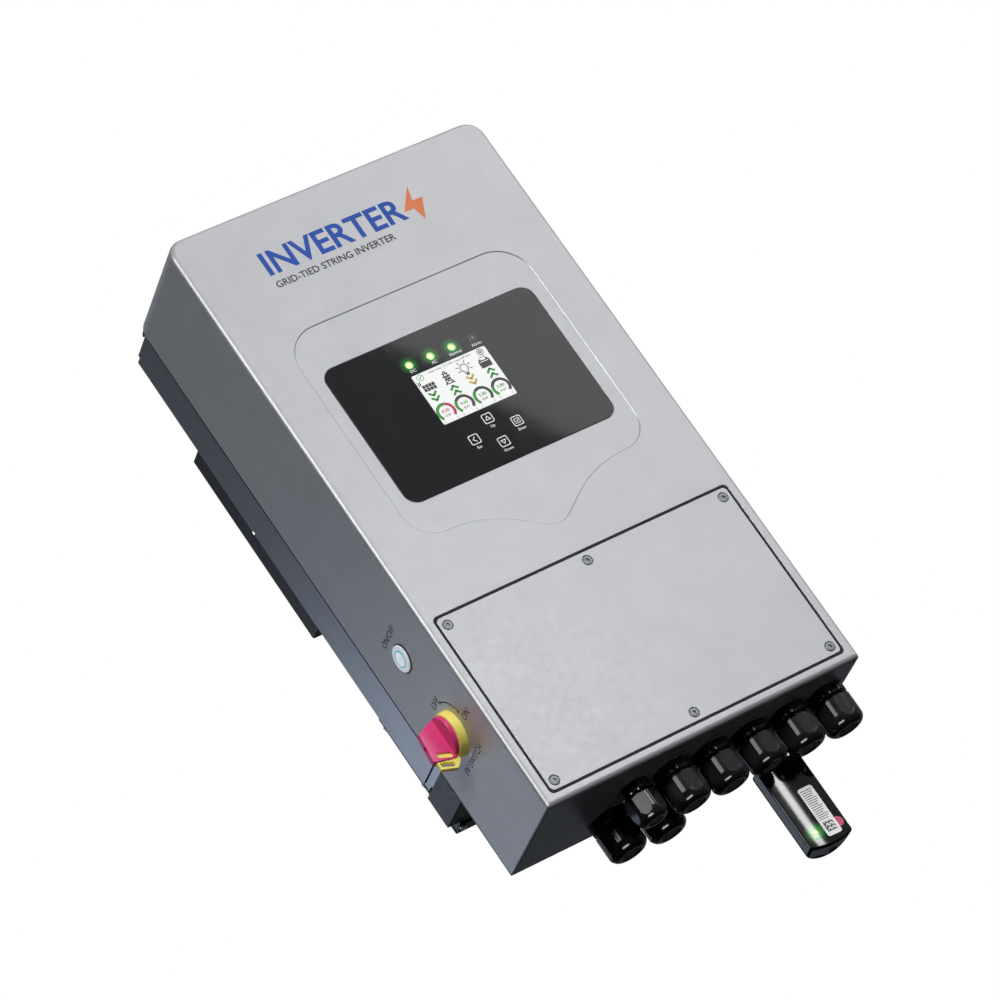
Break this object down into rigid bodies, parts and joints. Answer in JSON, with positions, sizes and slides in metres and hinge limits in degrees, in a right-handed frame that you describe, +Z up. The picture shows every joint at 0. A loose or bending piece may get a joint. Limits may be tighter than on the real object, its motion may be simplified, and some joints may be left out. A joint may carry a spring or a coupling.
{
  "type": "string inverter",
  "caption": "Wall-hung string inverter: grey sheet-metal cabinet with glass display, keypad, wiring cover, side isolator switch, cable glands, rear heatsink with fans and wall bracket.",
  "frame": {"origin": "middle of the wall bracket's rear face, which lies on the wall", "axes": "+Z up along the cabinet, +Y out of the bracket into the wall, +X to the right seen from the front, so the front faces -Y"},
  "size_m": [0.363, 0.232, 0.7205],
  "materials": {
    "cabinet_paint": "satin light-grey powder coat",
    "black_paint": "satin black powder coat",
    "dark_sheet": "satin dark-grey powder coat",
    "brushed_aluminium": "fine lengthwise brushing",
    "screw_steel": "satin zinc",
    "display_gloss": "polished black",
    "screen": "lit white display",
    "light_guide": "clear, lit green",
    "circuit_board": "green solder mask",
    "component_plastic": "matte dark resin",
    "seal_rubber": "matte",
    "isolator_yellow": "satin moulded",
    "isolator_red": "satin moulded",
    "button_ring": "glossy white with a lit blue ring",
    "button_cap": "glossy, lit",
    "gland_nylon": "semi-gloss black nylon",
    "fan_plastic": "satin black",
    "logger_gloss": "polished black"
  },
  "bodies": {
    "cabinet": {"front_cover": "cabinet_paint", "wiring_cover": "cabinet_paint", "wiring_seal": "seal_rubber", "case_seal": "seal_rubber", "rear_plate": "black_paint", "display_glass": "display_gloss", "lcd_module": "screen", "display_board": "circuit_board", "light_guide": "light_guide", "heatsink": "brushed_aluminium", "spacer_frame": "brushed_aluminium", "fan_tray": "dark_sheet", "duct_cover": "dark_sheet", "hanger_rail": "dark_sheet", "wall_bracket": "dark_sheet", "isolator_base": "isolator_yellow", "isolator_switch": "component_plastic", "button_bezel": "button_ring", "power_board": "circuit_board", "capacitor_bank": "component_plastic", "inductor_block": "component_plastic", "terminal_block": "component_plastic", "logger_socket": "gland_nylon", "logger_collar": "gland_nylon", "logger_body": "logger_gloss", "cover_screw_1": "screw_steel", "cover_screw_2": "screw_steel", "cover_screw_3": "screw_steel", "cover_screw_4": "screw_steel", "cover_screw_5": "screw_steel", "cover_screw_6": "screw_steel", "fan_frame_left": "fan_plastic", "fan_frame_middle": "fan_plastic", "fan_frame_right": "fan_plastic", "gland_body_small": "gland_nylon", "gland_nut_small": "gland_nylon", "gland_body_front_1": "gland_nylon", "gland_nut_front_1": "gland_nylon", "gland_body_front_2": "gland_nylon", "gland_nut_front_2": "gland_nylon", "gland_body_front_3": "gland_nylon", "gland_nut_front_3": "gland_nylon", "gland_body_front_4": "gland_nylon", "gland_nut_front_4": "gland_nylon", "gland_body_front_5": "gland_nylon", "gland_nut_front_5": "gland_nylon", "gland_body_rear_1": "gland_nylon", "gland_nut_rear_1": "gland_nylon", "gland_body_rear_2": "gland_nylon", "gland_nut_rear_2": "gland_nylon"},
    "isolator_handle": {"isolator_handle": "isolator_red"},
    "padlock_tab": {"padlock_tab": "isolator_yellow"},
    "power_button": {"button_cap": "button_cap"},
    "key_up": {"key_up": "display_gloss"},
    "key_back": {"key_back": "display_gloss"},
    "key_enter": {"key_enter": "display_gloss"},
    "key_down": {"key_down": "display_gloss"},
    "fan_rotor_left": {"fan_rotor_left": "fan_plastic"},
    "fan_rotor_middle": {"fan_rotor_middle": "fan_plastic"},
    "fan_rotor_right": {"fan_rotor_right": "fan_plastic"}
  },
  "joints": [
    {"name": "isolator_turn", "type": "hinge", "parent": "cabinet", "child": "isolator_handle", "pos_m": [-0.165, -0.17, -0.2945], "axis": [1, 0, 0], "range_deg": [0, 90]},
    {"name": "padlock_tab_slide", "type": "slide", "parent": "isolator_handle", "child": "padlock_tab", "axis": [0, 0, 1], "range_m": [0, 0.005]},
    {"name": "power_button_press", "type": "slide", "parent": "cabinet", "child": "power_button", "axis": [1, 0, 0], "range_m": [0, 0.0018], "stiffness_N_per_m": 800, "springref_m": -0.0008},
    {"name": "key_up_press", "type": "slide", "parent": "cabinet", "child": "key_up", "axis": [0, 1, 0], "range_m": [0, 0.0005], "stiffness_N_per_m": 1500, "springref_m": -0.0003},
    {"name": "key_back_press", "type": "slide", "parent": "cabinet", "child": "key_back", "axis": [0, 1, 0], "range_m": [0, 0.0005], "stiffness_N_per_m": 1500, "springref_m": -0.0003},
    {"name": "key_enter_press", "type": "slide", "parent": "cabinet", "child": "key_enter", "axis": [0, 1, 0], "range_m": [0, 0.0005], "stiffness_N_per_m": 1500, "springref_m": -0.0003},
    {"name": "key_down_press", "type": "slide", "parent": "cabinet", "child": "key_down", "axis": [0, 1, 0], "range_m": [0, 0.0005], "stiffness_N_per_m": 1500, "springref_m": -0.0003},
    {"name": "fan_spin_left", "type": "hinge", "parent": "cabinet", "child": "fan_rotor_left", "pos_m": [-0.112, -0.075, -0.3175], "axis": [0, 0, 1], "continuous": true},
    {"name": "fan_spin_middle", "type": "hinge", "parent": "cabinet", "child": "fan_rotor_middle", "pos_m": [0, -0.075, -0.3175], "axis": [0, 0, 1], "continuous": true},
    {"name": "fan_spin_right", "type": "hinge", "parent": "cabinet", "child": "fan_rotor_right", "pos_m": [0.112, -0.075, -0.3175], "axis": [0, 0, 1], "continuous": true}
  ]
}
